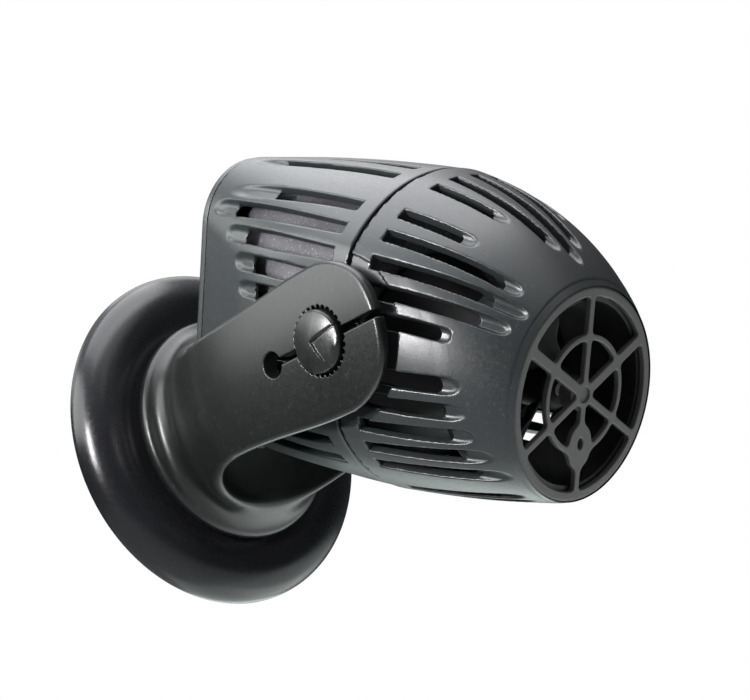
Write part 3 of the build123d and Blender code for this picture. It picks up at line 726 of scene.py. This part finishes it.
fine = 0.22
step = 0.55
moulding("yoke_strap", yoke_field,
         (lattice(-38.2, 38.4, step), lattice(-30, 30, step, ((-8.6, 8.4, fine),)),
          lattice(7.2, 104, step, ((65.5, 94.5, fine),))),
         GLASS, "yoke_arm", "yoke_plastic", ["yoke"])


# ---- trunnions ----------------------------------------------------------
knob_top = 40.36
dish_radius = 6.4
dish_low, dish_high = math.radians(-73), math.radians(14)


def trunnion_field(sign):
    """Field of the knob on the side that sign points to; h runs outward."""
    def field(x, z, s):
        h = x * sign
        reach = np.hypot(s, z)
        turn = np.arctan2(z, s)
        local = from_nearest_tooth(turn)
        flange = np.maximum(reach - 10, between(h, 27.6, 29.3))
        neck = np.maximum(reach - 7.2, between(h, 29, 32.1))
        tooth = np.hypot(reach * np.cos(local) - 6.51, reach * np.sin(local)) - 0.4
        core = np.maximum(np.minimum(reach - 6.58, tooth), between(h, 31, 36.2))
        # Domed cap with a shallow wedge-shaped dish between two radial steps.
        dome = knob_top - 0.022 * reach**2 - 0.00015 * reach**4
        dome = dome - 0.10 * np.abs(reach * np.sin(turn - math.radians(66)))
        past_low = reach * (turn - dish_low)
        past_high = reach * (dish_high - turn)
        wedge = np.clip(np.minimum(past_low, past_high) / 0.3 + 0.5, 0, 1)
        sink = np.clip((dish_radius - reach) / dish_radius, 0, 1)
        tip = np.exp(-((reach - 6.2) / 0.9) ** 2 - ((turn + 0.45) / 0.22) ** 2)
        dome = dome - wedge * (0.22 + 0.45 * sink - 0.35 * tip)
        groove = np.exp(-((past_high / 0.28) ** 2)) * (reach < 6.2) * np.clip(reach / 0.8, 0, 1)
        dome = dome - 0.25 * groove
        cap = both(reach - 6.82, (h - dome) * 0.9, 0.45)
        cap = np.maximum(cap, 35.6 - h)
        return np.minimum(np.minimum(flange, neck), np.minimum(core, cap))

    return field


step = 0.2
for name, sign in (("left", -1), ("right", 1)):
    outward = lattice(27.2, 41, 0.3, ((36, 41, step),))
    across = outward if sign > 0 else -outward[::-1]
    round_it = lattice(-10.4, 10.4, step)
    moulding(f"{name}_pivot_knob", trunnion_field(sign), (across, round_it, round_it),
             HINGE, "pump_body", "yoke_plastic", [f"{name}_trunnion"])


# ---- suction cup --------------------------------------------------------
cup_radius = 44.0


def smooth_line(points, per):
    """Points along a smooth line through the given ones, kept within the cup's box."""
    p = np.array(points, float)
    run = np.concatenate([[0], np.cumsum(np.hypot(*np.diff(p, axis=0).T))])
    cx, cy = Curve(list(zip(run, p[:, 0]))), Curve(list(zip(run, p[:, 1])))
    at = np.linspace(0, run[-1], per * (len(p) - 1) + 1)
    return list(zip(np.minimum(cx(at), cup_radius), np.maximum(cy(at), 0.0)))


# The lip and the dished face, the bore that grips the magnet's drum, the glass side.
cup_profile = (
    smooth_line([(43.3, 0.1), (43.9, 0.7), (cup_radius, 1.8), (43.4, 3.8), (42.0, 5.5), (39.9, 6.9),
                 (37.2, 7.8), (34.4, 7.9), (31.8, 7.4), (29.5, 6.9), (27.0, 6.8), (24.2, 6.8)], 10)
    + [(24.0, 6.7), (24.0, 5.0), (26.0, 5.0), (26.0, 3.6), (24.0, 3.6), (24.0, 2.4)]
    + smooth_line([(24.2, 2.4), (29.0, 2.5), (35.0, 1.7), (40.6, 0.1)], 8)
    + [(41.2, 0.0), (42.8, 0.0)]
)
v, faces = lathe(cup_profile[::-1], 240)
make("suction_disc", v, faces, GLASS, "mount", "cup_rubber", ["suction_cup"])

# ---- carried-over CAD nodes ---------------------------------------------
slot_of = {
    "magnet_housing": "yoke_plastic", "mount_magnet": "ferrite", "magnet_cover": "seal_rubber",
    "slip_ring": "white_acetal", "pivot_washer": "stainless", "pivot_screw": "stainless",
    "seam_ring": "seal_rubber", "cap_screws": "stainless", "cable_gland": "seal_rubber",
    "rotor_well": "motor_resin", "stator_core": "lamination_steel", "coil_bobbins": "white_acetal",
    "coil_windings": "copper_wire", "vibration_pads": "seal_rubber", "rotor_shaft": "ceramic",
    "rear_bush": "seal_rubber", "front_bush": "seal_rubber", "rotor_magnet": "ferrite",
    "rotor_sleeve": "propeller_plastic", "flow_guide": "propeller_plastic",
    "outlet_duct": "propeller_plastic", "thrust_washer": "ceramic",
    "propeller": "propeller_plastic",
}
for name, obj in nodes.items():
    if obj.hide_render:
        continue
    obj.data.materials.clear()
    obj.data.materials.append(looks[slot_of[name]])

# ---- floor, light, camera -----------------------------------------------
middle = Vector((0, -0.075, 0.0))
floor_half = 1.6
floor_y = -0.1
floor_z = -0.7

mat, n, l, shader, at = tree("floor_paper")
tint = ramp(n, l, noise(n, l, at, 3, 2), ((0.3, (0.86, 0.86, 0.86)), (0.7, (0.90, 0.90, 0.90))))
l.new(tint, shader.inputs["Base Color"])
shader.inputs["Roughness"].default_value = 0.9
mesh = bpy.data.meshes.new("floor")
corners = [(floor_half * i, floor_y + floor_half * j, floor_z)
           for i, j in ((-1, -1), (1, -1), (1, 1), (-1, 1))]
mesh.from_pydata(corners, [], [(0, 1, 2, 3)])
floor = bpy.data.objects.new("floor", mesh)
mesh.materials.append(mat)
bpy.context.scene.collection.objects.link(floor)

world = bpy.data.worlds.new("studio")
world.use_nodes = True
bpy.context.scene.world = world
wn, wl = world.node_tree.nodes, world.node_tree.links
back = wn["Background"]
# What the object reflects, from straight below to straight above: a greenish glow, dark
# walls, a pale ceiling. The camera itself sees white.
reflected = (
    (0.0, (0.46, 0.56, 0.53)), (0.15, (0.33, 0.40, 0.38)),
    (0.28, (0.06, 0.075, 0.07)), (0.42, (0.015, 0.018, 0.018)),
    (0.66, (0.02, 0.02, 0.022)), (0.84, (0.20, 0.205, 0.21)),
    (0.94, (0.40, 0.41, 0.43)), (1.0, (0.40, 0.41, 0.43)),
)
sky = wn.new("ShaderNodeTexCoord")
split = wn.new("ShaderNodeSeparateXYZ")
wl.new(sky.outputs["Generated"], split.inputs["Vector"])
height = span(wn, wl, split.outputs["Z"], 0, 1, -1, 1)
wl.new(ramp(wn, wl, height, reflected), back.inputs["Color"])
back.inputs["Strength"].default_value = 2.4
white = wn.new("ShaderNodeBackground")
white.inputs["Color"].default_value = (1, 1, 1, 1)
white.inputs["Strength"].default_value = 1.0
mix = wn.new("ShaderNodeMixShader")
path = wn.new("ShaderNodeLightPath")
wl.new(path.outputs["Is Camera Ray"], mix.inputs["Fac"])
wl.new(back.outputs["Background"], mix.inputs[1])
wl.new(white.outputs["Background"], mix.inputs[2])
wl.new(mix.outputs["Shader"], wn["World Output"].inputs["Surface"])


def lamp_at(name, place, width, height, radiance, colour, aim=middle):
    """Area light that faces the object, with the brightness of its face given."""
    data = bpy.data.lights.new(name, "AREA")
    data.shape = "RECTANGLE"
    data.size, data.size_y = width, height
    data.energy = math.pi * radiance * width * height
    data.color = colour
    lamp = bpy.data.objects.new(name, data)
    bpy.context.scene.collection.objects.link(lamp)
    lamp.location = place
    lamp.rotation_euler = (aim - place).to_track_quat("-Z", "Y").to_euler()
    lamp.visible_camera = False


def softbox(name, azimuth, elevation, distance, width, height, radiance, colour):
    """Lamp seen from the object's middle. Azimuth 0 is in front of the outlet, 90 toward -X."""
    a, e = math.radians(azimuth), math.radians(elevation)
    away = Vector((-math.sin(a) * math.cos(e), -math.cos(a) * math.cos(e), math.sin(e)))
    lamp_at(name, middle + distance * away, width, height, radiance, colour)


softbox("ceiling", -5, 84, 0.45, 0.48, 0.48, 4.7, (0.97, 0.98, 1.0))
softbox("front_top", -10, 48, 0.8, 0.5, 0.6, 1.0, (0.97, 0.99, 1.0))
softbox("back_top", -136, 48, 0.8, 0.5, 0.36, 1.5, (1.0, 0.98, 1.0))
softbox("back_left", 163, 35, 0.8, 0.4, 0.22, 1.9, (0.98, 0.99, 1.0))
softbox("below", -130, -65, 0.5, 0.6, 0.6, 1.4, (0.90, 1.0, 0.96))
softbox("left_wall", 107, 31, 0.36, 0.40, 0.20, 6.6, (0.98, 1.0, 0.99))
softbox("below_right", -150, -28, 0.8, 0.4, 0.3, 2.0, (0.86, 1.0, 0.95))
softbox("below_front", -80, -42, 0.7, 0.8, 0.6, 1.0, (0.92, 1.0, 0.97))
lamp_at("small_strip", Vector((-0.172, -0.093, 0.036)), 0.032, 0.056, 85, (1.0, 0.97, 1.0),
        Vector((-0.035, -0.070, 0.0)))

look_azimuth, look_rise, roll = math.radians(46.24), math.radians(10.03), math.radians(-16.70)
look = Vector((math.sin(look_azimuth) * math.cos(look_rise),
               math.cos(look_azimuth) * math.cos(look_rise), math.sin(look_rise)))
level = Vector((math.cos(look_azimuth), -math.sin(look_azimuth), 0))
head = level.cross(look)
right = level * math.cos(roll) + head * math.sin(roll)
up = right.cross(look)
camera_data = bpy.data.cameras.new("camera")
camera_data.lens = 81.6
camera_data.sensor_width = 36
camera_data.clip_start = 0.01
camera = bpy.data.objects.new("camera", camera_data)
bpy.context.scene.collection.objects.link(camera)
stand = Matrix.Translation((-0.2836, -0.3360, -0.0673))
camera.matrix_world = stand @ Matrix((right, up, -look)).transposed().to_4x4()
bpy.context.scene.camera = camera
bpy.context.scene.view_settings.view_transform = "Standard"
